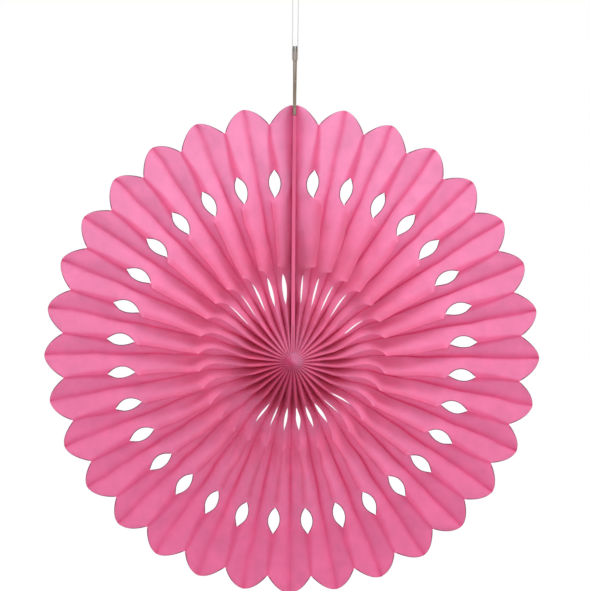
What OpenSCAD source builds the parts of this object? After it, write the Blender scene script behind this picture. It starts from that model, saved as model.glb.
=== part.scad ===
// Honeycomb paper fan that hangs by a loop of thread.
// A stack of tissue leaves, glued in turn along their front and back edges, is opened into a full
// circle, and its two card covers meet face to face at the top and reach up as a hanging tab.
// The front looks along -Y. Angles run clockwise from the top, as seen from the front.
// The origin is the inside top of the thread loop, where a hook holds it.

/* [Fan] */
// Diameter across the petal tips
fan_d = 406; // [390:1:440]
// Number of petals round the rim, two leaves to a petal
petals = 32; // [24:2:36]
// Depth of the notch between two petals
petal_h = 14.5; // [8:0.5:18]
// Thickness of a glued tissue leaf
leaf_t = 0.3; // [0.2:0.05:0.4]
// Radius of the tight bundle in which the leaves end
hub_r = 8; // [7:0.5:12]

/* [Dish] */
// Height of the back folds at the hub, in front of the plane of the petal tips
hub_back_h = 17; // [8:0.5:25]
// Height of the front folds at the hub, in front of the same plane
hub_front_h = 57; // [50:0.5:65]
// Height of the front folds at the inner end of the scoop
knee_h = 54; // [45:0.5:60]
// Height of the front folds at the petal notches
rim_h = 5; // [3:0.5:9]
// Tip of the hub in front of the front folds
hub_tip = 3; // [0:0.5:5]
// Degrees by which the folds hang lower at the sides of the fan
side_drop_angle = 1.5; // [0:0.1:2.5]
// How far the glued front edges sag down the right half of the fan
lean_right = 4; // [0:0.5:6]
// How much further they sag beside the covers
lean_top = 6.3; // [0:0.1:7]
// How far they sag down the left half
lean_left = 3.8; // [0:0.2:6]

/* [Die cuts] */
// Inner end of the scoop cut from the front edges
scoop_in = 35; // [28:0.5:45]
// Outer end of the scoop
scoop_out = 77; // [65:0.5:90]
// Share of the leaf that the scoop takes at its deepest
scoop_cut = 0.56; // [0.3:0.02:0.6]
// Width of the slots that stay open in the scoop near the top and the bottom of the fan
slot_w = 3; // [0:0.5:4]
// Opening between the scoop's free edges where they hang together
scoop_gap = 0.8; // [0.6:0.1:2]
// Inner end of the eye-shaped holes
eye_in = 127; // [115:0.5:132]
// Outer end of the eye-shaped holes
eye_out = 152.2; // [140:0.1:160]
// Share of the leaf that a hole takes at its widest
eye_cut = 0.34; // [0.2:0.02:0.45]

/* [Card covers] */
// Thickness of a cover
card_t = 1.25; // [0.8:0.05:1.25]
// Height of the tab above the petal tips
tab_h = 50; // [30:1:70]
// Width of the tab, from its front edge to its back edge
tab_w = 16; // [10:0.5:18]
// Radius of the tab's corners
tab_corner_r = 4; // [1:0.5:5]
// How far each cover bends outwards at the top of its tab
tab_splay = 0.35; // [0:0.05:0.4]
// Diameter of the thread hole
hole_d = 3; // [2.6:0.1:4]
// Distance of the thread hole below the top of the tab
hole_drop = 12; // [8:0.5:16]
// Distance of the hole's axis in front of the plane of the petal tips
hole_h = 10; // [8:0.5:12]
// Glue gap between the covers and the tissue
glue_gap = 0.05; // [0.02:0.01:0.1]

/* [Thread] */
// Diameter of the thread
thread_d = 0.8; // [0.5:0.05:0.8]
// Diameter of the knot
knot_d = 2; // [1.6:0.1:2.4]
// Length of the knot
knot_l = 2.6; // [2:0.1:3.5]
// Clearance of the knot round the thread
knot_gap = 0.03; // [0.02:0.01:0.05]

/* [Hidden] */

tissue_colour = "#EE6C9B";
card_colour = "#8A7A6C";
thread_colour = "#E9E7E4";

// Right half of the thread's route, from the middle of the hole to the middle of the loop, as X and Z
route_right = [
    [0, -64], [0.9, -63.8], [1.6, -63.3], [2, -62.6], [2.2, -61.6],
    [2.2, -56], [2.2, -48], [2.2, -36], [2.3, -24], [2.3, -12], [2.2, -2],
    [2, -0.9], [1.5, -0.1], [0.8, 0.3], [0, 0.4]
];
// Middle of the knot on the right strand, as X and Z
knot_at = [2.25, -8];
// Height of the hole's axis
hole_z = -64;
// Sides of the thread's tube
thread_sides = 8;
// Longest step between two of the tube's rings, in thread diameters
thread_step = 3;

tip_r = fan_d / 2;
notch_r = tip_r - petal_h;
fan_z = hole_z + hole_drop - tab_h - tip_r;
tip_y = hole_h;
seam_x = card_t + glue_gap + leaf_t / 2;
half_t = leaf_t / 2;

// Steps in a scoop, a hole and a petal's end
scoop_steps = 6;
eye_steps = 5;
petal_steps = [0.3, 0.55, 0.75, 0.9, 1];
// Where the tissue stops wrapping the covers, as a share of the petal's height
wrap_share = petal_steps[2];
// The deepest place of the scoop is past its middle, and that of a hole is before it
scoop_skew = 1.4;
eye_skew = 0.8;
// Middle of a slot and half its length
slot_r = 54;
slot_half = 10;
// Slots open within this share of the way from the sides to the top or the bottom
slot_from_share = 0.6;
slot_full_share = 0.9;
// How much more than the upper leaf the lower one bulges at the sides
side_share = 0.15;
// The dish is steeper at the hub than at the rim
dish_bow = 1.35;
// Angle over which the sag beside the covers fades
lean_fade_angle = 32;
// How fast the sag fades from the glued edges into a scoop and into a hole
scoop_fade = 6;
eye_fade = 7;
// Roundness of the petal's end, and the share of the leaf that is left at its tip
petal_bow = 1.8;
tip_share = 0.08;

function mix(a, b, t) = a + (b - a) * t;
function eased(t) = min(1, max(0, t));

// Each ring is a radius and the share of the leaf's width that the die leaves there
function cut_rings(from, to, steps, depth, skew) = [
    for (i = [1 : steps - 1])
        let (t = i / steps)
        [mix(from, to, t), 1 - depth * sin(180 * pow(t, skew))]
];
rings = concat(
    [[hub_r, 1], [scoop_in, 1]],
    cut_rings(scoop_in, scoop_out, scoop_steps, scoop_cut, scoop_skew),
    [[scoop_out, 1], [eye_in, 1]],
    cut_rings(eye_in, eye_out, eye_steps, eye_cut, eye_skew),
    [[eye_out, 1], [notch_r, 1]],
    [for (t = petal_steps) [notch_r + petal_h * t, max(tip_share, pow(1 - t, 1 / petal_bow))]]
);
outer = len(rings) - 1;
wrap_r = notch_r + petal_h * wrap_share;

// Heights in front of the plane of the petal tips
function back_h(r) = mix(hub_back_h, 0, (r - hub_r) / (tip_r - hub_r));
function front_h(r) =
    r < scoop_in
        ? mix(hub_front_h, knee_h, (r - hub_r) / (scoop_in - hub_r))
        : mix(rim_h, knee_h, pow(1 - eased((r - scoop_in) / (notch_r - scoop_in)), dish_bow));
function leaf_w(r) = norm([front_h(r) - back_h(r), PI * r / petals]);
function cover_h(r) = back_h(r) + leaf_w(r);

// Folds are numbered clockwise. Number 0 and the last are the front corners over the covers' edges,
// odd ones are back folds and the other even ones are front folds.
last = 2 * petals + 2;
function is_corner(n) = n == 0 || n == last;
function is_back(n) = n % 2 == 1;
function seam_deg(r) = asin(seam_x / r);
function fold_deg(n, r) =
    let (turn = (n - 1) * 180 / petals)
    seam_deg(r) + turn * (1 - seam_deg(r) / 180) + side_drop_angle * sin(turn);

// The glued front edges sag between the scoop and the holes, most near the top
function sag(r) =
    r < scoop_out
        ? pow(eased((r - scoop_in) / (scoop_out - scoop_in)), scoop_fade)
        : pow(eased((eye_out - r) / (eye_out - eye_in)), eye_fade);
function lean(n, r) =
    let (deg = fold_deg(n, r))
    sag(r) * (deg < 180
        ? lean_right * cos(deg / 2) + lean_top * exp(-deg / lean_fade_angle)
        : -lean_left * cos((360 - deg) / 2));

// Between their glued ends the free edges of the scoop hang together, apart from the slots. At the
// sides of the fan the lower leaf bulges more to meet the upper one.
function slot(n, r) =
    let (past = (r - slot_r) / slot_half, near = abs(cos(fold_deg(n, r))))
    slot_w * max(0, 1 - past * past) * eased((near - slot_from_share) / (slot_full_share - slot_from_share));
function share_before(n, r) = 0.5 - side_share * sin(fold_deg(n, r));

// A place on a ring is an arc length from the top and a height
function arc(deg, r) = deg * PI * r / 180;
function fold_at(n, r) =
    n == 0 ? [arc(seam_deg(r), r), cover_h(r)]
    : n == last ? [arc(360 - seam_deg(r), r), cover_h(r)]
    : is_back(n) ? [arc(fold_deg(n, r), r), back_h(r)]
    : [arc(fold_deg(n, r), r) + lean(n, r), front_h(r)];
function place(p, r) =
    let (deg = p[0] * 180 / (PI * r))
    [r * sin(deg), tip_y - p[1], fan_z + r * cos(deg)];

// Front normal of the leaf that follows fold n, times half its thickness
function side(n, r) =
    let (v = fold_at(n + 1, r) - fold_at(n, r))
    [-v[1], v[0]] * half_t / norm(v);
function mitre(a, b) = (a + b) / (1 + a * b / (half_t * half_t));

// The four corners of the paper at a fold: front and back of the leaf before, back and front of the
// leaf after
function closed_fold(n, r) =
    let (p = fold_at(n, r), a = side(n - 1, r), b = side(n, r), m = mitre(a, b))
    is_back(n) ? [p + m, p - a, p - b, p + m] : [p + a, p - m, p - m, p + b];
function cut_fold(n, r, left) =
    let (
        p = fold_at(n, r),
        a = side(n - 1, r),
        b = side(n, r),
        open = (fold_at(n + 1, r)[0] - fold_at(n - 1, r)[0]) * (1 - left),
        closing = r < scoop_out ? max(0, open - max(scoop_gap, slot(n, r))) : 0,
        upper = share_before(n, r),
        before = mix(fold_at(n - 1, r), p, left) + [closing * upper, 0],
        after = mix(fold_at(n + 1, r), p, left) - [closing * (1 - upper), 0]
    )
    [before + a, before - a, after - b, after + b];
function corner_fold(n, r) =
    let (
        out = n == 0 ? 1 : -1,
        p = fold_at(n, r),
        past = eased((r - wrap_r) / (tip_r - wrap_r)),
        end = [p[0], mix(back_h(r), p[1], 1 - 0.15 * past * past)],
        step = wraps(r) ? [out, 1] * half_t : [out, 0] * half_t
    )
    [end + step, end - step, end - step, end + step];
function wraps(r) = r <= wrap_r;
function is_cut(k, n) = is_corner(n) ? !wraps(rings[k][0]) : !is_back(n) && rings[k][1] < 1;
function fold_corners(k, n) =
    is_corner(n) ? corner_fold(n, rings[k][0])
    : is_cut(k, n) ? cut_fold(n, rings[k][0], rings[k][1])
    : closed_fold(n, rings[k][0]);

// Numbers of the corners, in the order of fold_corners. Corners that coincide share one number.
FRONT_BEFORE = 0;
BACK_BEFORE = 1;
BACK_AFTER = 2;
FRONT_AFTER = 3;
function id(k, n, c) =
    let (
        shared = c == FRONT_AFTER ? is_corner(n) || is_back(n)
            : c == BACK_AFTER ? is_corner(n) || !is_back(n) && !is_cut(k, n)
            : false
    )
    4 * ((last + 1) * k + n) + (shared ? 3 - c : c);
// Two faces from ring k to the next, between two corners. Front and back share one diagonal, so that
// the paper keeps its thickness where a leaf twists.
function strip(k, n1, c1, n2, c2) =
    let (a = id(k, n1, c1), b = id(k, n2, c2), c = id(k + 1, n2, c2), d = id(k + 1, n1, c1))
    n1 <= n2 ? [[a, d, c], [a, c, b]] : [[a, d, b], [d, c, b]];

fan_points = concat(
    [for (k = [0 : outer], n = [0 : last], p = fold_corners(k, n)) place(p, rings[k][0])],
    [[0, tip_y - hub_front_h - hub_tip, fan_z], [0, tip_y - hub_back_h, fan_z]]
);
hub_front = len(fan_points) - 2;
hub_back = len(fan_points) - 1;

leaf_faces = [
    for (k = [0 : outer - 1], n = [0 : last - 1])
        each concat(
            strip(k, n, FRONT_AFTER, n + 1, FRONT_BEFORE),
            strip(k, n + 1, BACK_BEFORE, n, BACK_AFTER)
        )
];
back_fold_faces = [
    for (k = [0 : outer - 1], n = [1 : 2 : last - 1]) each strip(k, n, BACK_AFTER, n, BACK_BEFORE)
];
front_fold_faces = [
    for (k = [0 : outer - 1], n = [2 : 2 : last - 2])
        each is_cut(k, n) || is_cut(k + 1, n)
            ? concat(
                strip(k, n, FRONT_BEFORE, n, BACK_BEFORE),
                strip(k, n, BACK_AFTER, n, FRONT_AFTER)
            )
            : strip(k, n, FRONT_BEFORE, n, FRONT_AFTER)
];
wrap_faces = [
    for (k = [0 : outer - 1])
        each is_cut(k + 1, 0)
            ? concat(
                strip(k, last, FRONT_BEFORE, last, BACK_BEFORE),
                strip(k, 0, BACK_AFTER, 0, FRONT_AFTER)
            )
            : concat(
                strip(k, last, FRONT_AFTER, 0, FRONT_BEFORE),
                strip(k, 0, BACK_BEFORE, last, BACK_AFTER)
            )
];
// A glued edge ends in a small face where a cut starts, and another where the cut stops
glue_end_faces = [
    for (k = [1 : outer - 1], n = [2 : 2 : last - 2])
        if (is_cut(k + 1, n) != is_cut(k - 1, n) && !is_cut(k, n))
            is_cut(k + 1, n)
                ? [id(k, n, FRONT_BEFORE), id(k, n, BACK_BEFORE), id(k, n, FRONT_AFTER)]
                : [id(k, n, FRONT_BEFORE), id(k, n, FRONT_AFTER), id(k, n, BACK_BEFORE)]
];
wrap_end_faces = [
    for (k = [1 : outer - 1])
        if (is_cut(k + 1, 0) && !is_cut(k, 0))
            [
                id(k, last, BACK_AFTER), id(k, 0, BACK_BEFORE),
                id(k, 0, FRONT_BEFORE), id(k, last, FRONT_AFTER)
            ]
];
tip_faces = concat(
    [
        for (n = [0 : last - 1])
            [
                id(outer, n, BACK_AFTER), id(outer, n + 1, BACK_BEFORE),
                id(outer, n + 1, FRONT_BEFORE), id(outer, n, FRONT_AFTER)
            ]
    ],
    [
        for (n = [1 : 2 : last - 1])
            [id(outer, n, BACK_BEFORE), id(outer, n, BACK_AFTER), id(outer, n, FRONT_AFTER)]
    ]
);
// The hub closes each pocket between two leaves, and the slot of the covers
hub_walls = concat(
    [
        for (n = [1 : 2 : last - 1])
            [id(0, n - 1, FRONT_AFTER), id(0, n, FRONT_BEFORE), id(0, n + 1, FRONT_BEFORE)]
    ],
    [
        for (n = [2 : 2 : last - 2])
            [id(0, n - 1, BACK_AFTER), id(0, n + 1, BACK_BEFORE), id(0, n, BACK_BEFORE)]
    ],
    [
        [
            id(0, last, BACK_AFTER), id(0, last - 1, BACK_AFTER),
            id(0, 1, BACK_BEFORE), id(0, 0, BACK_BEFORE)
        ]
    ]
);
front_rim = [
    for (n = [0 : 2 : last])
        for (c = is_corner(n) ? [FRONT_BEFORE] : [FRONT_BEFORE, FRONT_AFTER]) id(0, n, c)
];
back_rim = [for (n = [1 : 2 : last - 1], c = [BACK_BEFORE, BACK_AFTER]) id(0, n, c)];
hub_ends = concat(
    [
        for (i = [0 : len(front_rim) - 1])
            [hub_front, front_rim[i], front_rim[(i + 1) % len(front_rim)]]
    ],
    [
        for (i = [0 : len(back_rim) - 1])
            [hub_back, back_rim[(i + 1) % len(back_rim)], back_rim[i]]
    ]
);

// All the leaves and the hub are one glued piece of tissue
module tissue_fan() {
    color(tissue_colour)
        polyhedron(
            points = fan_points,
            faces = concat(
                leaf_faces, back_fold_faces, front_fold_faces, wrap_faces, glue_end_faces,
                wrap_end_faces, tip_faces, hub_walls, hub_ends
            ),
            convexity = 10
        );
}

// Outline of the cover inside the fan, as distance behind the thread's axis and height above the hub
cover_front = half_t + glue_gap;
cover_outline = concat(
    [[tip_y - back_h(hub_r), hub_r + glue_gap]],
    [[tip_y - cover_h(hub_r) + cover_front, hub_r + glue_gap]],
    [for (g = rings) if (g[0] > hub_r && g[0] <= wrap_r) [tip_y - cover_h(g[0]) + cover_front, g[0]]],
    [[-tab_w / 2, tip_r], [tab_w / 2, tip_r], [tip_y, tip_r - (tip_y - tab_w / 2)]]
);
tab_top = tip_r + tab_h;

// The part of the cover between the leaves
module cover_blade() {
    rotate([90, 0, 90])
        linear_extrude(card_t)
            polygon(cover_outline);
}

// The tab, bent outwards above the petals
module cover_tab() {
    seat = tip_r - tab_corner_r;
    intersection() {
        rotate([90, 0, 0])
            translate([0, 0, -tab_w / 2])
                linear_extrude(tab_w)
                    polygon([
                        [0, seat], [card_t, seat], [card_t, tip_r],
                        [card_t + tab_splay, tab_top], [tab_splay, tab_top], [0, tip_r]
                    ]);
        rotate([90, 0, 90])
            linear_extrude(card_t + tab_splay)
                hull() {
                    for (side = [-1, 1])
                        translate([side * (tab_w / 2 - tab_corner_r), tab_top - tab_corner_r])
                            circle(tab_corner_r, $fn = 48);
                    translate([-tab_w / 2, seat])
                        square([tab_w, tab_corner_r]);
                }
    }
}

module cover() {
    difference() {
        translate([0, 0, fan_z])
            union() {
                cover_blade();
                cover_tab();
            }
        translate([-card_t, 0, hole_z])
            rotate([0, 90, 0])
                cylinder(h = 4 * card_t, d = hole_d, $fn = 48);
    }
}

module card_cover_right() {
    color(card_colour)
        cover();
}

module card_cover_left() {
    color(card_colour)
        mirror([1, 0, 0])
            cover();
}

// The thread is a closed loop: up its right strand, over the top and down its left strand
route_half = [
    for (i = [0 : len(route_right) - 2])
        let (
            a = route_right[i],
            b = route_right[i + 1],
            steps = ceil(norm(b - a) / (thread_step * thread_d))
        )
        for (s = [0 : steps - 1]) mix(a, b, s / steps)
];
route = concat(
    route_half,
    [route_right[len(route_right) - 1]],
    [for (i = [len(route_half) - 1 : -1 : 1]) [-route_half[i][0], route_half[i][1]]]
);
route_n = len(route);
function route_dir(i) =
    let (v = route[(i + 1) % route_n] - route[(i + route_n - 1) % route_n])
    v / norm(v);
function thread_ring(i) =
    let (p = route[i], d = route_dir(i), out = [d[1], -d[0]])
    [
        for (s = [0 : thread_sides - 1])
            let (
                deg = 360 * (s + 0.5) / thread_sides,
                across = p + out * thread_d / 2 * cos(deg)
            )
            [across[0], thread_d / 2 * sin(deg), across[1]]
    ];

module hanging_thread() {
    color(thread_colour)
        polyhedron(
            points = [for (i = [0 : route_n - 1]) each thread_ring(i)],
            faces = [
                for (i = [0 : route_n - 1], s = [0 : thread_sides - 1])
                    let (
                        next = (i + 1) % route_n * thread_sides,
                        here = i * thread_sides,
                        t = (s + 1) % thread_sides
                    )
                    [here + s, next + s, next + t, here + t]
            ],
            convexity = 4
        );
}

// The two ends of the thread are tied in a small knot beside the top of the loop
module thread_knot() {
    core = thread_d / 2 + knot_gap;
    belly = knot_d / 2 - core;
    color(thread_colour)
        translate([knot_at[0], 0, knot_at[1]])
            rotate_extrude($fn = 32)
                polygon([
                    for (deg = [-90 : 15 : 90])
                        [core + belly * (0.3 + 0.7 * cos(deg)), knot_l / 2 * sin(deg)],
                    [core, knot_l / 2],
                    [core, -knot_l / 2]
                ]);
}

tissue_fan();
card_cover_left();
card_cover_right();
hanging_thread();
thread_knot();
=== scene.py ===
"""Pink honeycomb paper fan that hangs by a thread: its looks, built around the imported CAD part.

Sizes here are in mm, unless a name or a comment says otherwise, and go to Blender in metres. The origin is
the inside top of the thread loop, and the front of the fan looks along -Y. Angles round the fan run
clockwise from its top, and a height is how far a point stands in front of the petals' tips.
"""

import math

import bpy
import numpy as np
from mathutils import Matrix, Vector


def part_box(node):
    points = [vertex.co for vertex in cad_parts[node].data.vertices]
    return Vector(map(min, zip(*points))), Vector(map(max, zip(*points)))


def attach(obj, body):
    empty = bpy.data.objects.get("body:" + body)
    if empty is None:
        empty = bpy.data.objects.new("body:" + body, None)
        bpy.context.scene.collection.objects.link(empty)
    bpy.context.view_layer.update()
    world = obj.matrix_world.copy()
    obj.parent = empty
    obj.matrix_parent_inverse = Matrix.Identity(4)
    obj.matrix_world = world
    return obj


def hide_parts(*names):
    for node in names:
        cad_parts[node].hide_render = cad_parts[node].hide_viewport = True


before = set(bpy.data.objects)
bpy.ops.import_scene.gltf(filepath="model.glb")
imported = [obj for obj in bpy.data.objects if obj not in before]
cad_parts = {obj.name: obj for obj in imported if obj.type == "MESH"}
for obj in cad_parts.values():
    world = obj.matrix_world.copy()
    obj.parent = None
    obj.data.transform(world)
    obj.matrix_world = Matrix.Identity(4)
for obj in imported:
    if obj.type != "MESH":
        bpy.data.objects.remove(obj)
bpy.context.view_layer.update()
MM = 0.001
dice = np.random.default_rng(7)

PETALS = 32
TISSUE_T = 0.16
# The pad's solid reaches this far behind the middle of its back folds
WALL_BEHIND_FOLD = 0.1
TIP_R = (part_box("tissue_fan")[1].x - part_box("tissue_fan")[0].x) / 2 / MM
FAN_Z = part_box("tissue_fan")[1].z / MM - TIP_R
TIP_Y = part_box("tissue_fan")[1].y / MM - WALL_BEHIND_FOLD

# Places along a leaf, from the middle of the fan to the tips
HUB_R = 8
SCOOP_IN = 35
RIBS_OUT = 61
PRESSED_OUT = 66
SCOOP_OUT = 77
EYE_IN = 127
HOLE_IN = 130
EYE_OUT = 152.2
PETAL_H = 14.5
NOTCH_R = TIP_R - PETAL_H
WRAP_R = NOTCH_R + 0.75 * PETAL_H

# Heights of the folds at the hub, at the crest beside it and at the notches
HUB_BACK_H = 17
HUB_FRONT_H = 57
KNEE_H = 54
RIM_H = 5
DISH_BOW = 1.35

# Shares of a leaf's width that the die cuts away, and the width of an eye-shaped hole
SCOOP_CUT = 0.56
EYE_CUT = 0.4
EYE_W = 9.4
# The open slots, which lie further out at the top of the fan and further in at its bottom
SLOT_MIDDLE = 54
SLOT_HALF = 11.5
SLOT_RISE = 2.8
# Where a cut is closed, its two edges overlap by this
OVERLAP = 0.25
CUT_SPARE = 0.05

# How far the front folds lean sideways between the scoops and the eye holes, and all folds in degrees
LEAN_RIGHT = 4
LEAN_LEFT = 3.8
LEAN_TOP = 6.3
LEAN_TOP_DEG = 32
SIDE_DROP_DEG = 1.5
# Middle of the leaf that is glued to each cover
SEAM_X = 1.45
# Inside this the strip over the covers has its lines of painted shade in the middle
STRIP_IN = 31

# Waves of the back folds and bow of the leaves, which the soft paper takes by chance
BACK_WAVE = 0.8
LEAF_BOW = 1.6
BOW_BIAS = 0.35

# How much painted shade darkens the bottom of the fan and the hub's lower left, and where that side lies
LOW_SHADE = 0.31
HUB_SHADE = 0.7
HUB_DARK_RAD = 0.9

PHOTO_W = 590
PHOTO_H = 591
MM_PER_PX = 0.8202
# Middle of the fan in the photograph, in its pixels
FAN_MIDDLE_PX = (291.8, 349.5)
CAMERA_DISTANCE = 20000
CAMERA_PITCH_DEG = 9.6
CAMERA_ROLL_DEG = 0.6
CAMERA_YAW_DEG = -0.9


def deselect_all():
    bpy.ops.object.select_all(action="DESELECT")


def make_camera():
    """The photograph's view: a little above the fan, from far away."""
    pitch = math.radians(CAMERA_PITCH_DEG)
    roll = math.radians(CAMERA_ROLL_DEG)
    yaw = math.radians(CAMERA_YAW_DEG)
    back = Vector((math.sin(yaw) * math.cos(pitch), -math.cos(yaw) * math.cos(pitch), math.sin(pitch)))
    level = Vector((math.cos(yaw), math.sin(yaw), 0))
    right = level * math.cos(roll) + back.cross(level) * math.sin(roll)
    up = back.cross(right)
    aim = Vector((0, TIP_Y, FAN_Z))
    aim += right * (PHOTO_W / 2 - FAN_MIDDLE_PX[0]) * MM_PER_PX
    aim += up * (FAN_MIDDLE_PX[1] - PHOTO_H / 2) * MM_PER_PX
    bpy.ops.object.camera_add(location=(aim + back * CAMERA_DISTANCE) * MM)
    camera = bpy.context.object
    camera.rotation_euler = Matrix((right, up, back)).transposed().to_euler()
    camera.data.sensor_width = 36
    camera.data.lens = 36 * CAMERA_DISTANCE / (PHOTO_H * MM_PER_PX)
    camera.data.clip_end = 100
    bpy.context.scene.camera = camera


THREAD_D = 0.8
# Right half of the thread's route, from the middle of the hole to the middle of the loop
ROUTE_RIGHT = [
    (0, -64), (0.9, -63.8), (1.6, -63.3), (2, -62.6), (2.2, -61.6),
    (2.2, -56), (2.2, -48), (2.2, -36), (2.3, -24), (2.3, -12), (2.2, -2),
    (2, -0.9), (1.5, -0.1), (0.8, 0.3), (0, 0.4),
]


def make_thread(material):
    points = ROUTE_RIGHT + [(-x, z) for x, z in ROUTE_RIGHT[-2::-1]]
    data = bpy.data.curves.new("hanging_thread_cord", "CURVE")
    data.dimensions = "3D"
    data.bevel_depth = THREAD_D / 2 * MM
    data.bevel_resolution = 3
    spline = data.splines.new("POLY")
    spline.points.add(len(points) - 1)
    for point, (x, z) in zip(spline.points, points):
        point.co = (x * MM, 0, z * MM, 1)
    cord = bpy.data.objects.new("thread_cord", data)
    bpy.context.scene.collection.objects.link(cord)
    data.materials.append(material)
    return cord


def linear(hex_colour):
    """An sRGB hex colour as a linear RGBA value."""
    channels = [int(hex_colour[i : i + 2], 16) / 255 for i in (1, 3, 5)]
    return tuple(c / 12.92 if c <= 0.04045 else ((c + 0.055) / 1.055) ** 2.4 for c in channels) + (1,)


def add_node(tree, kind, settings=None, links=None):
    """Adds a node. Settings name its sockets or its properties, and links name what feeds a socket."""
    node = tree.nodes.new(kind)
    for name, value in (settings or {}).items():
        if isinstance(name, int) or name in node.inputs:
            node.inputs[name].default_value = value
        else:
            setattr(node, name, value)
    for name, source in (links or {}).items():
        tree.links.new(source, node.inputs[name])
    return node


def new_material(name):
    material = bpy.data.materials.new(name)
    material.use_nodes = True
    material.node_tree.nodes.clear()
    return material, material.node_tree


# One layer of tissue and two, as the light falls on them and as it comes through. The colour of two also
# paints shade
TISSUE_COLOURS = ("#F8A6CA", "#EE7AA8"), ("#FCC9E4", "#F28DB9")
GLUED_COLOURS = ("#EC6E98", "#CA567E"), ("#F488B0", "#CC5C86")
# Grey of the cut edges, which also paints shade in the creases of the strip over the covers
CUT_EDGE_AND_CREASE_SHADE_COLOUR = "#8C566A"
PULP_CLOUD = 12
PAPER_CREASE = 6


def dyed_tissue(name, colour_pairs, share):
    """Tissue paper, laid thin from wet pulp that holds the dye: matt, softly clouded and finely creased.

    A share of the light passes through it and takes up the dye again, so the sheet glows from behind. Where
    a second layer backs it, less light passes and the dye looks deeper, and the same deeper colour paints
    shade in the folds, on sides turned from the light and toward the bottom. The cut edges are drawn as dull
    grey lines, and that grey also paints shade in the creases of the strip over the covers.
    """
    material, tree = new_material(name)
    space = add_node(tree, "ShaderNodeTexCoord")
    layers_and_painted_shade = add_node(tree, "ShaderNodeAttribute", {"attribute_name": "layers_and_painted_shade"})
    cut = add_node(tree, "ShaderNodeAttribute", {"attribute_name": "cut_edge_and_crease_shade"})
    edge = add_node(
        tree, "ShaderNodeMapRange", {"From Min": 0.35, "From Max": 0.9, "To Max": 0.8},
        {"Value": cut.outputs["Fac"]},
    )
    pulp = add_node(
        tree, "ShaderNodeTexNoise", {"Scale": 1 / (PULP_CLOUD * MM), "Detail": 4, "Roughness": 0.6},
        {"Vector": space.outputs["Object"]},
    )
    tone = add_node(
        tree, "ShaderNodeMapRange", {"From Min": 0.3, "From Max": 0.7, "To Min": 0.96, "To Max": 1.04},
        {"Value": pulp.outputs[0]},
    )
    colours = []
    for single, double in colour_pairs:
        dyed = add_node(tree, "ShaderNodeMix", {"data_type": "RGBA"}, {"Factor": layers_and_painted_shade.outputs["Fac"]})
        dyed.inputs[6].default_value = linear(single)
        dyed.inputs[7].default_value = linear(double)
        clouded = add_node(
            tree, "ShaderNodeVectorMath", {"operation": "SCALE"},
            {0: dyed.outputs[2], "Scale": tone.outputs[0]},
        )
        edged = add_node(
            tree, "ShaderNodeMix", {"data_type": "RGBA"}, {"Factor": edge.outputs[0], 6: clouded.outputs[0]}
        )
        edged.inputs[7].default_value = linear(CUT_EDGE_AND_CREASE_SHADE_COLOUR)
        colours.append(edged.outputs[2])
    creases = add_node(
        tree, "ShaderNodeTexNoise",
        {"Scale": 1 / (PAPER_CREASE * MM), "Detail": 5, "Roughness": 0.55, "Distortion": 0.6},
        {"Vector": space.outputs["Object"]},
    )
    bump = add_node(
        tree, "ShaderNodeBump", {"Strength": 0.35, "Distance": 0.6 * MM}, {"Height": creases.outputs[0]}
    )
    paper = add_node(
        tree, "ShaderNodeBsdfPrincipled", {"Roughness": 0.85, "IOR": 1.4, "Specular IOR Level": 0.2},
        {"Base Color": colours[0], "Normal": bump.outputs[0]},
    )
    through = add_node(
        tree, "ShaderNodeBsdfTranslucent", links={"Color": colours[1], "Normal": bump.outputs[0]}
    )
    blend = add_node(tree, "ShaderNodeMixShader", {0: share}, {1: paper.outputs[0], 2: through.outputs[0]})
    add_node(tree, "ShaderNodeOutputMaterial", links={0: blend.outputs[0]})
    return material


# The bands of a wave texture come every 0.31 of its size, so the plies show every 1.2 mm
PLY_WAVE = 3.8
PLY_TURN_DEG = 32
FLUFF = 0.4


def cotton_thread(name):
    """Cotton thread, spun and twisted from plies: dull off-white, with painted shade in its grooves, and
    short fibres.
    """
    material, tree = new_material(name)
    space = add_node(tree, "ShaderNodeTexCoord")
    lay = add_node(tree, "ShaderNodeMapping", {"vector_type": "TEXTURE"}, {"Vector": space.outputs["Object"]})
    lay.inputs["Rotation"].default_value = (0, math.radians(PLY_TURN_DEG), 0)
    plies = add_node(
        tree, "ShaderNodeTexWave",
        {"bands_direction": "Z", "Scale": 1 / (PLY_WAVE * MM), "Distortion": 0.6, "Detail": 2},
        {"Vector": lay.outputs[0]},
    )
    fluff = add_node(
        tree, "ShaderNodeTexNoise", {"Scale": 1 / (FLUFF * MM), "Detail": 3},
        {"Vector": space.outputs["Object"]},
    )
    height = add_node(
        tree, "ShaderNodeMath", {"operation": "MULTIPLY_ADD", 1: 0.25},
        {0: fluff.outputs[0], 2: plies.outputs["Fac"]},
    )
    # Painted shade in the grooves between the plies
    tone = add_node(tree, "ShaderNodeMix", {"data_type": "RGBA"}, {"Factor": plies.outputs["Fac"]})
    tone.inputs[6].default_value = linear("#C9C6C2")
    tone.inputs[7].default_value = linear("#E2E0DD")
    bump = add_node(
        tree, "ShaderNodeBump", {"Strength": 0.6, "Distance": 0.1 * MM}, {"Height": height.outputs[0]}
    )
    yarn = add_node(
        tree, "ShaderNodeBsdfPrincipled", {"Roughness": 0.85, "IOR": 1.5, "Sheen Weight": 0.2},
        {"Base Color": tone.outputs[2], "Normal": bump.outputs[0]},
    )
    add_node(tree, "ShaderNodeOutputMaterial", links={0: yarn.outputs[0]})
    return material


FIBRE = 2.2
TAB_UNSHADED_Z = -55
TAB_SHADED_Z = -54.2


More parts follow.
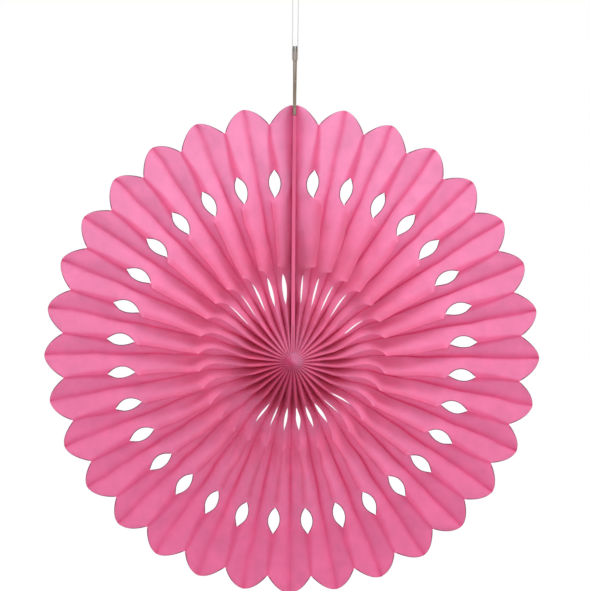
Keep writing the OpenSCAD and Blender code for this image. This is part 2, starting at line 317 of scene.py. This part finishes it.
def greyboard(name):
    """Greyboard, pressed from pulped waste paper: matt grey-brown, darker fibres, painted shade at its top.
    """
    material, tree = new_material(name)
    space = add_node(tree, "ShaderNodeTexCoord")
    parts = add_node(tree, "ShaderNodeSeparateXYZ", links={0: space.outputs["Object"]})
    fibre = add_node(
        tree, "ShaderNodeTexNoise", {"Scale": 1 / (FIBRE * MM), "Detail": 6, "Roughness": 0.65},
        {"Vector": space.outputs["Object"]},
    )
    board = add_node(tree, "ShaderNodeMix", {"data_type": "RGBA"}, {"Factor": fibre.outputs[0]})
    board.inputs[6].default_value = linear("#6F6257")
    board.inputs[7].default_value = linear("#A39283")
    # Painted shade along the top of the tab
    top_shade = add_node(
        tree, "ShaderNodeMapRange",
        {
            "interpolation_type": "SMOOTHSTEP", "From Min": TAB_UNSHADED_Z * MM, "From Max": TAB_SHADED_Z * MM,
            "To Max": 0.75,
        },
        {"Value": parts.outputs[2]},
    )
    shaded_board = add_node(
        tree, "ShaderNodeMix", {"data_type": "RGBA"}, {"Factor": top_shade.outputs[0], 6: board.outputs[2]}
    )
    shaded_board.inputs[7].default_value = linear("#4E4A46")
    bump = add_node(
        tree, "ShaderNodeBump", {"Strength": 0.3, "Distance": 0.2 * MM}, {"Height": fibre.outputs[0]}
    )
    card = add_node(
        tree, "ShaderNodeBsdfPrincipled", {"Roughness": 0.9, "IOR": 1.45, "Specular IOR Level": 0.2},
        {"Base Color": shaded_board.outputs[2], "Normal": bump.outputs[0]},
    )
    add_node(tree, "ShaderNodeOutputMaterial", links={0: card.outputs[0]})
    return material


def mix(a, b, t):
    return a + (b - a) * t


def eased(t):
    return np.clip(t, 0, 1)


def die_share(r):
    """Share of the leaf's width that the die leaves at radius r."""
    share = np.ones_like(r)
    t = eased((r - SCOOP_IN) / (SCOOP_OUT - SCOOP_IN))
    share -= SCOOP_CUT * np.sin(math.pi * t**1.4)
    t = eased((r - EYE_IN) / (EYE_OUT - EYE_IN))
    share -= EYE_CUT * np.sin(math.pi * t**0.95)
    t = eased((r - NOTCH_R) / PETAL_H)
    return share * np.maximum(0.06, (1 - t) ** (1 / 1.8))


def back_h(r):
    return mix(HUB_BACK_H, 0, (r - HUB_R) / (TIP_R - HUB_R))


def front_h(r):
    inner = mix(HUB_FRONT_H, KNEE_H, (r - HUB_R) / (SCOOP_IN - HUB_R))
    outer = mix(RIM_H, KNEE_H, (1 - eased((r - SCOOP_IN) / (NOTCH_R - SCOOP_IN))) ** DISH_BOW)
    return np.where(r < SCOOP_IN, inner, outer)


def valley_h(r):
    """Height of the back folds as the front shows them. The leaves that are pressed together fill them up."""
    open_share = mix(0.04, 1, eased((r - HUB_R) / (PRESSED_OUT - HUB_R)))
    return front_h(r) - (front_h(r) - back_h(r)) * open_share


def cover_h(r):
    """Height of the covers' front edges, which are straight between the frame's own rings."""
    rings = np.concatenate([
        [HUB_R], np.linspace(SCOOP_IN, SCOOP_OUT, 7), np.linspace(EYE_IN, EYE_OUT, 6), [NOTCH_R, TIP_R],
    ])
    tops = back_h(rings) + np.hypot(front_h(rings) - back_h(rings), math.pi * rings / PETALS)
    return np.interp(r, rings, tops)


def seam_rad(r):
    return np.arcsin(SEAM_X / r)


def fold_rad(n, r):
    """Angle of fold n. The odd folds are at the back. At the fan's sides all folds hang a little lower."""
    turn = (n - 1) * math.pi / PETALS
    return seam_rad(r) + turn * (1 - seam_rad(r) / math.pi) + math.radians(SIDE_DROP_DEG) * math.sin(turn)


def sag(rad, r):
    """Share of the lean at radius r: full between the scoops and the eye holes, none at hub and rim."""
    inner = eased((r - SCOOP_IN) / (SCOOP_OUT - SCOOP_IN)) ** 6
    outer = eased((EYE_OUT - r) / (EYE_OUT - EYE_IN)) ** (5 + 2.5 * np.cos(rad))
    return np.where(r < SCOOP_OUT, inner, outer)


# Width of the slots that stay open in the scoop, by the number of their front fold
SLOT_W = {
    2: 1.3, 4: 1.7, 6: 1.4, 8: 1.2, 12: 1.2, 24: 1.4, 26: 0.8, 28: 2.9, 30: 2.6, 32: 3.8, 34: 2.4, 36: 1.3,
    38: 1.6, 56: 1, 58: 0.8, 60: 1.8, 62: 2.8, 64: 3.8,
}
RIDGE_SHARE = {n: dice.uniform(0.86, 1.14) for n in range(2, 2 * PETALS + 1, 2)}


def lean(n, r):
    """Sideways sag of a front fold. Those on the right lean more, most of all near the top."""
    rad = fold_rad(n, r)
    right = LEAN_RIGHT * np.cos(rad / 2) + LEAN_TOP * np.exp(-np.degrees(rad) / LEAN_TOP_DEG)
    left = -LEAN_LEFT * np.cos((2 * math.pi - rad) / 2)
    return sag(rad, r) * RIDGE_SHARE[n] * np.where(rad < math.pi, right, left)


def waves(count, shortest, longest):
    """Smooth chance in one direction: a function of a length with a range of about -1 to 1."""
    lengths = dice.uniform(shortest, longest, count)
    phases = dice.uniform(0, 2 * math.pi, count)
    sizes = lengths / lengths.sum()
    return lambda x: sum(a * np.sin(2 * math.pi * x / w + p) for a, w, p in zip(sizes, lengths, phases))


def buckles(count, shortest, longest):
    """Smooth chance over a sheet."""
    lengths = dice.uniform(shortest, longest, count)
    ways = dice.uniform(-0.5, 0.5, count) * math.pi
    phases = dice.uniform(0, 2 * math.pi, count)
    sizes = lengths / lengths.sum()
    return lambda x, y: sum(
        a * np.sin(2 * math.pi * (x * math.cos(t) + y * math.sin(t)) / w + p)
        for a, w, t, p in zip(sizes, lengths, ways, phases)
    )


FOLD_WAVES = {n: waves(4, 18, 70) for n in range(1, 2 * PETALS + 2)}


def slack(r):
    """How free the paper is to wave and bow: not at all at the hub, and fully a little way out."""
    return eased((r - HUB_R) / 40)


def open_width(n_front, r):
    """Width that stays open between the cut edges at a front fold, as a slot or as an eye-shaped hole."""
    slot_r = SLOT_MIDDLE + SLOT_RISE * np.cos(fold_rad(n_front, r))
    slot = SLOT_W.get(n_front, 0) * np.maximum(0, 1 - ((r - slot_r) / SLOT_HALF) ** 2)
    hole = EYE_W * np.sin(math.pi * eased((r - HOLE_IN) / (EYE_OUT - HOLE_IN))) ** 0.75
    return np.where(r < SCOOP_OUT, slot, hole)


def leaf(n_back, n_front, r, s):
    """Points of one leaf as arc and height, over its rings and across it.

    s runs from 0 at the back fold to 1 at the front edge, which the die has cut in places.
    """
    r = r[:, None]
    rad = fold_rad(n_front, r)
    cut = die_share(r)
    share = cut * s[None, :]
    back_arc = fold_rad(n_back, r) * r
    front_arc = rad * r
    # Near the hub the leaf stays close to its back fold and turns to the front late
    pressed = 1 + 2.5 * (1 - eased((r - HUB_R) / 32)) ** 1.3
    arc = mix(back_arc, front_arc, share**pressed) + lean(n_front, r) * share**2.6
    height = mix(valley_h(r), front_h(r), share)

    # The cut edges fall toward each other, the lower one further, until only the slot or hole stays open
    opening = 2 * abs(front_arc - back_arc) * (1 - cut)
    wanted = np.maximum(-OVERLAP, open_width(n_front, r) - CUT_SPARE)
    closing = np.maximum(0, opening - wanted) * (r < EYE_OUT)
    is_lower = (n_front < n_back) == (n_front <= PETALS)
    part = 0.5 + (0.15 if is_lower else -0.15) * abs(np.sin(rad))
    toward = np.sign(n_front - n_back)
    arc = arc + toward * closing * part * s[None, :] ** 2

    arc = arc + FOLD_WAVES[n_front](r) * slack(r) * share**2
    arc = arc + FOLD_WAVES[n_back](r) * BACK_WAVE * slack(r) * (1 - share) ** 2
    across = front_arc - back_arc
    depth = front_h(r) - valley_h(r)
    width = np.hypot(across, depth)
    soft = buckles(7, 14, 60)(r, share * width)
    bow = LEAF_BOW * slack(r) * (4 * s * (1 - s))[None, :] * (soft + BOW_BIAS)
    arc = arc - bow * depth * np.sign(across) / width
    height = height + bow * abs(across) / width
    return arc, height


def cover_leaf(side, r, s):
    """Points of the leaf that is glued to a cover. The side is -1 for the left cover."""
    r = r[:, None]
    past = eased((r - WRAP_R) / (TIP_R - WRAP_R))
    top = mix(back_h(r), cover_h(r), 1 - 0.15 * past**2)
    arc = side * seam_rad(r) * r + 0 * s[None, :]
    return arc, mix(valley_h(r), top + 0.2, s[None, :])


def place(arc, height, r):
    rad = arc / r[:, None]
    return np.stack([r[:, None] * np.sin(rad), TIP_Y - height, FAN_Z + r[:, None] * np.cos(rad)], axis=-1)


# The rings lie closer where the die cuts, and so do the places across toward the cut edge
RINGS = np.concatenate([
    np.linspace(HUB_R, SCOOP_IN, 9)[:-1],
    np.linspace(SCOOP_IN, SCOOP_OUT, 29)[:-1],
    np.linspace(SCOOP_OUT, EYE_IN, 19)[:-1],
    np.linspace(EYE_IN, EYE_OUT, 21)[:-1],
    np.linspace(EYE_OUT, NOTCH_R, 13)[:-1],
    NOTCH_R + PETAL_H * (1 - (1 - np.linspace(0, 1, 13)) ** 1.6),
])
ACROSS = np.append(np.linspace(0, 0.905, 12) ** 0.9, (0.965, 1))


def declare(piece, node):
    """Says which frame node the piece shows, and that it moves with the root."""
    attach(piece, "root")
    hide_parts(node)


def sheet(name, points, edge, layers_and_painted_shade, material):
    """A closed thin sheet of tissue over a grid of points."""
    rows, columns = points.shape[:2]
    deselect_all()
    bpy.ops.mesh.primitive_grid_add(x_subdivisions=columns - 1, y_subdivisions=rows - 1, size=1)
    piece = bpy.context.object
    piece.name = name
    piece.data.name = name
    piece.data.vertices.foreach_set("co", (points * MM).astype(np.float32).ravel())
    for label, values in (("cut_edge_and_crease_shade", edge), ("layers_and_painted_shade", layers_and_painted_shade)):
        mark = piece.data.attributes.new(label, "FLOAT", "POINT")
        mark.data.foreach_set("value", values.astype(np.float32).ravel())
    piece.data.update()
    thick = piece.modifiers.new("thickness", "SOLIDIFY")
    thick.thickness = TISSUE_T * MM
    thick.offset = 0
    bpy.ops.object.modifier_apply(modifier=thick.name)
    bpy.ops.object.shade_smooth_by_angle(angle=math.radians(35))
    piece.data.materials.append(material)
    return piece


def painted_low_shading(rad, r):
    """Painted shade toward the bottom of the fan and on the hub's lower left, and painted light in the lower
    scoops.

    It was set against the photograph.
    """
    low = LOW_SHADE * (1 - np.cos(rad))
    low = low + HUB_SHADE * np.maximum(0, -np.cos(rad - HUB_DARK_RAD)) * eased((44 - r) / 30)
    return low * (mix(0.9, -0.45, eased((r - 35) / 20)) + 1.45 * eased((r - 95) / 55))


def layer_and_shade_mark(n_back, n_front, r, s):
    """How much the deeper colour shows: painted shade along the back fold, a glued second layer with painted
    shade along the front fold, painted shade over the middle rings, and the painted shading toward the
    bottom.

    The leaf above a back fold, which faces away from the light, gets more painted shade than the leaf below
    it.
    """
    r = r[:, None]
    rad = fold_rad(n_front, r)
    is_above = (n_front < n_back) == (n_back <= PETALS)
    above = (1 if is_above else -1) * abs(np.sin(rad))
    width = np.hypot(front_h(r) - valley_h(r), math.pi * r / PETALS)
    from_back = s[None, :] * die_share(r) * width
    from_front = (1 - s[None, :] * die_share(r)) * width
    reach = mix(3.8, 2.6, r / TIP_R) * (1 + 0.45 * above)
    # Painted shade along the back fold, wider and deeper on the leaf above it
    valley = (0.6 + 0.22 * above) * np.exp(-((from_back / reach) ** 2))
    strip = mix(3.4, 1, eased((r - EYE_OUT) / (NOTCH_R - EYE_OUT)))
    # Along the front fold: a glued second layer, with painted shade
    glued = 0.8 * eased(1.6 - from_front / strip) * (r > EYE_OUT - 6) * (r < NOTCH_R + 1)
    glued = glued + 0.4 * eased(1.5 - from_front / 3) * (r > SCOOP_OUT) * (r < EYE_IN)
    lines = np.maximum(valley * mix(0.35, 1, eased((r - SCOOP_IN) / 60)), glued)
    # Painted shade over the middle rings
    behind = 0.12 * eased((150 - r) / 26) * eased((r - 40) / 40)
    low = painted_low_shading(rad, r)
    return eased((lines + behind + 0.22 * np.maximum(0, above)) * (1 - low) + low)


def edge_mark(r, s):
    """One along the cut edges, less in the scoops, and zero elsewhere."""
    mark = np.zeros((len(r), len(s)))
    is_cut = (die_share(r) < 0.999) * ((r < SCOOP_OUT) | (r > HOLE_IN))
    mark[:, -2:] = (np.where(r < SCOOP_OUT, 0.4, 1) * is_cut)[:, None]
    mark[-1, :] = 1
    return mark


def petal(j, material):
    """One petal: two leaves that share their back fold."""
    n = 2 * j + 1
    before = place(*leaf(n, n - 1, RINGS, ACROSS), RINGS)[:, ::-1]
    after = place(*leaf(n, n + 1, RINGS, ACROSS), RINGS)[:, 1:]
    mark = edge_mark(RINGS, ACROSS)
    edge = np.concatenate([mark[:, ::-1], mark[:, 1:]], axis=1)
    layers_and_painted_shade = np.concatenate(
        [layer_and_shade_mark(n, n - 1, RINGS, ACROSS)[:, ::-1], layer_and_shade_mark(n, n + 1, RINGS, ACROSS)[:, 1:]], axis=1
    )
    piece = sheet(f"tissue_petal_{j:02d}", np.concatenate([before, after], axis=1), edge, layers_and_painted_shade, material)
    declare(piece, "tissue_fan")


def seam_half(side, material):
    """Half of the top petal: its free leaf, and the leaf that is glued to the cover on that side."""
    n = 1 if side > 0 else 2 * PETALS + 1
    flat = np.linspace(0, 1, 8)
    flat_mark = np.zeros((len(RINGS), len(flat)))
    flat_mark[RINGS > WRAP_R, -1] = 1
    free = place(*leaf(n, n + side, RINGS, ACROSS), RINGS)[:, ::-1]
    glued = place(*cover_leaf(side, RINGS, flat), RINGS)[:, 1:]
    points = np.concatenate([free, glued], axis=1)
    edge = np.concatenate([edge_mark(RINGS, ACROSS)[:, ::-1], flat_mark[:, 1:]], axis=1)
    # The cover lies close to the free leaf near its back fold and keeps the light from it there
    shaded = np.maximum(layer_and_shade_mark(1, 2, RINGS, ACROSS), eased(0.9 - 1.9 * ACROSS)[None, :])
    layers_and_painted_shade = np.concatenate([shaded[:, ::-1], 1 + 0 * flat_mark[:, 1:]], axis=1)
    if side > 0:
        points, edge, layers_and_painted_shade = points[:, ::-1], edge[:, ::-1], layers_and_painted_shade[:, ::-1]
    piece = sheet("tissue_seam_" + ("left" if side < 0 else "right"), points, edge, layers_and_painted_shade, material)
    declare(piece, "tissue_fan")


def seam_wrap(material):
    """The strip of tissue over the covers' front edges, with lines of painted shade where it folds."""
    low = RINGS[RINGS <= WRAP_R]
    left = place(*cover_leaf(-1, low, np.ones(1)), low)
    right = place(*cover_leaf(1, low, np.ones(1)), low)
    steps = [left * (1 - t) + right * t for t in (0, 0.18, 0.42, 0.58, 0.82, 1)]
    below = (low < STRIP_IN)[:, None]
    # Painted shade in the strip's creases: a line down its middle near the hub, and lines along its sides
    # further out
    edge = np.where(below, np.array([0.2, 0, 0.8, 0.8, 0, 0.2]), np.array([0.65, 0.1, 0, 0, 0.1, 0.65]))
    edge[-1] = 1
    piece = sheet("tissue_seam_wrap", np.concatenate(steps, axis=1), edge, 0.1 + 0 * edge, material)
    declare(piece, "tissue_fan")


def ribs(material):
    """Behind the valleys near the hub the two leaves of each petal are pressed together."""
    low = RINGS[RINGS < RIBS_OUT]
    r = low[:, None]
    s = np.linspace(0, 1, 4)
    made = []
    for n in range(1, 2 * PETALS + 2, 2):
        arc = fold_rad(n, r) * r + FOLD_WAVES[n](r) * BACK_WAVE * slack(r) + 0 * s[None, :]
        points = place(arc, mix(back_h(r), valley_h(r), s[None, :]), low)
        edge = np.zeros(points.shape[:2])
        made.append(sheet(f"tissue_rib_{n:02d}", points, edge, 0.4 + edge, material))
    deselect_all()
    for piece in made:
        piece.select_set(True)
    bpy.context.view_layer.objects.active = made[0]
    bpy.ops.object.join()
    made[0].name = "tissue_ribs"
    declare(made[0], "tissue_fan")


HUB_STEPS = 192
HUB_FLUTE = 0.8
# Radius and height of the bundle at the hub, from its tip round to its back
HUB_PROFILE = [
    (0.01, 62), (1, 61.6), (2.2, 60.8), (3.6, 59.8), (5, 58.8), (6.4, 57.8), (7.6, 57), (8.6, 56.2),
    (9.4, 55), (10, 52), (10, 38), (9, 17), (0.01, 17),
]


def hub(material):
    """The bundle that the leaves end in, with a low fluted cone in front."""
    turns = np.linspace(0, 2 * math.pi, HUB_STEPS + 1)[:-1]
    rows = []
    for r, h in HUB_PROFILE:
        flute = HUB_FLUTE * min(1, r / HUB_R) * np.cos(PETALS * turns)
        rows.append(np.stack([r * np.sin(turns), TIP_Y - h + flute, FAN_Z + r * np.cos(turns)], axis=-1))
    points = np.array(rows)
    last = (len(HUB_PROFILE) - 1) * HUB_STEPS
    faces = []
    for k in range(0, last, HUB_STEPS):
        for i in range(HUB_STEPS):
            t = (i + 1) % HUB_STEPS
            faces.append((k + i, k + t, k + HUB_STEPS + t, k + HUB_STEPS + i))
    faces.append(tuple(range(HUB_STEPS))[::-1])
    faces.append(tuple(range(last, last + HUB_STEPS)))
    mesh = bpy.data.meshes.new("tissue_hub")
    mesh.from_pydata((points.reshape(-1, 3) * MM).tolist(), [], faces)
    piece = bpy.data.objects.new("tissue_hub", mesh)
    bpy.context.scene.collection.objects.link(piece)
    deselect_all()
    piece.select_set(True)
    bpy.context.view_layer.objects.active = piece
    bpy.ops.object.mode_set(mode="EDIT")
    bpy.ops.mesh.select_all(action="SELECT")
    bpy.ops.mesh.normals_make_consistent(inside=False)
    bpy.ops.object.mode_set(mode="OBJECT")
    bpy.ops.object.shade_smooth_by_angle(angle=math.radians(40))
    mesh.attributes.new("cut_edge_and_crease_shade", "FLOAT", "POINT")
    shade = mesh.attributes.new("layers_and_painted_shade", "FLOAT", "POINT")
    # Painted shade on the hub's lower left, the side turned from the light
    off_tip = np.minimum(1, np.array([r for r, h in HUB_PROFILE])[:, None] / 3)
    lower_left = 0.5 - 0.75 * off_tip * np.cos(turns - HUB_DARK_RAD)
    shade.data.foreach_set("value", eased(lower_left).astype(np.float32).ravel())
    mesh.materials.append(material)
    declare(piece, "tissue_fan")


FLOOR_SIZE = 24000
FLOOR_Z = -900
FLOOR_GLOW = 1.12
FLOOR_GLOW_SHARE = 0.75
WORLD_LIGHT = 0.7
WHITE = "#FFFFFF"
FLOOR_PAINT = "#F3F3F3"


def background_rays(tree):
    """One for the rays that show the background and zero for those that light the fan."""
    rays = add_node(tree, "ShaderNodeLightPath")
    seen = rays.outputs["Is Camera Ray"]
    for kind in ("Is Glossy Ray", "Is Transmission Ray"):
        seen = add_node(
            tree, "ShaderNodeMath", {"operation": "MAXIMUM"}, {0: seen, 1: rays.outputs[kind]}
        ).outputs[0]
    return seen


def make_floor():
    """A pale floor below the fan, which shows white and still takes its shadow."""
    bpy.ops.mesh.primitive_plane_add(size=FLOOR_SIZE * MM, location=(0, 0, FLOOR_Z * MM))
    floor = bpy.context.object
    floor.name = "floor"
    material, tree = new_material("white_floor")
    part = add_node(
        tree, "ShaderNodeMath", {"operation": "MULTIPLY", 1: FLOOR_GLOW_SHARE}, {0: background_rays(tree)}
    )
    paint = add_node(tree, "ShaderNodeBsdfDiffuse", {"Color": linear(FLOOR_PAINT)})
    white = add_node(tree, "ShaderNodeEmission", {"Color": linear(WHITE), "Strength": FLOOR_GLOW})
    blend = add_node(
        tree, "ShaderNodeMixShader", links={0: part.outputs[0], 1: paint.outputs[0], 2: white.outputs[0]}
    )
    add_node(tree, "ShaderNodeOutputMaterial", links={0: blend.outputs[0]})
    floor.data.materials.append(material)


def make_world():
    """Even white light from all round, which shows as a white background."""
    world = bpy.data.worlds.new("studio")
    bpy.context.scene.world = world
    world.use_nodes = True
    tree = world.node_tree
    tree.nodes.clear()
    level = add_node(
        tree, "ShaderNodeMapRange", {"To Min": WORLD_LIGHT, "To Max": 1.0}, {"Value": background_rays(tree)}
    )
    sky = add_node(tree, "ShaderNodeBackground", {"Color": linear(WHITE)}, {"Strength": level.outputs[0]})
    add_node(tree, "ShaderNodeOutputWorld", links={0: sky.outputs[0]})


def add_lamp(name, azimuth, elevation, distance, size, power):
    """A soft square lamp that looks at the fan, with its sizes in metres.

    Azimuth 0 is in front, and 90 degrees is at the right.
    """
    a, e = math.radians(azimuth), math.radians(elevation)
    away = Vector((math.sin(a) * math.cos(e), -math.cos(a) * math.cos(e), math.sin(e)))
    bpy.ops.object.light_add(type="AREA", location=Vector((0, 0, FAN_Z * MM)) + away * distance)
    lamp = bpy.context.object
    lamp.name = name
    lamp.rotation_euler = (-away).to_track_quat("-Z", "Y").to_euler()
    lamp.data.size = size
    lamp.data.energy = power


make_camera()
thread_material = cotton_thread("cotton_thread")
cord = make_thread(thread_material)
declare(cord, "hanging_thread")

tissue = dyed_tissue("dyed_tissue_paper", TISSUE_COLOURS, 0.6)
glued_tissue = dyed_tissue("glued_tissue_layers", GLUED_COLOURS, 0.15)
for j in range(1, PETALS):
    petal(j, tissue)
for side in (-1, 1):
    seam_half(side, tissue)
seam_wrap(glued_tissue)
ribs(tissue)
hub(tissue)

board = greyboard("greyboard")
finishes = {"card_cover_left": board, "card_cover_right": board, "thread_knot": thread_material}
for name, finish in finishes.items():
    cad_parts[name].data.materials.clear()
    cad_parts[name].data.materials.append(finish)

make_floor()
make_world()
add_lamp("key", azimuth=22, elevation=56, distance=1.6, size=0.9, power=13.5)
bpy.context.scene.view_settings.view_transform = "Standard"
bpy.context.scene.cycles.max_bounces = 16
bpy.context.scene.cycles.diffuse_bounces = 10
bpy.context.scene.cycles.transmission_bounces = 10
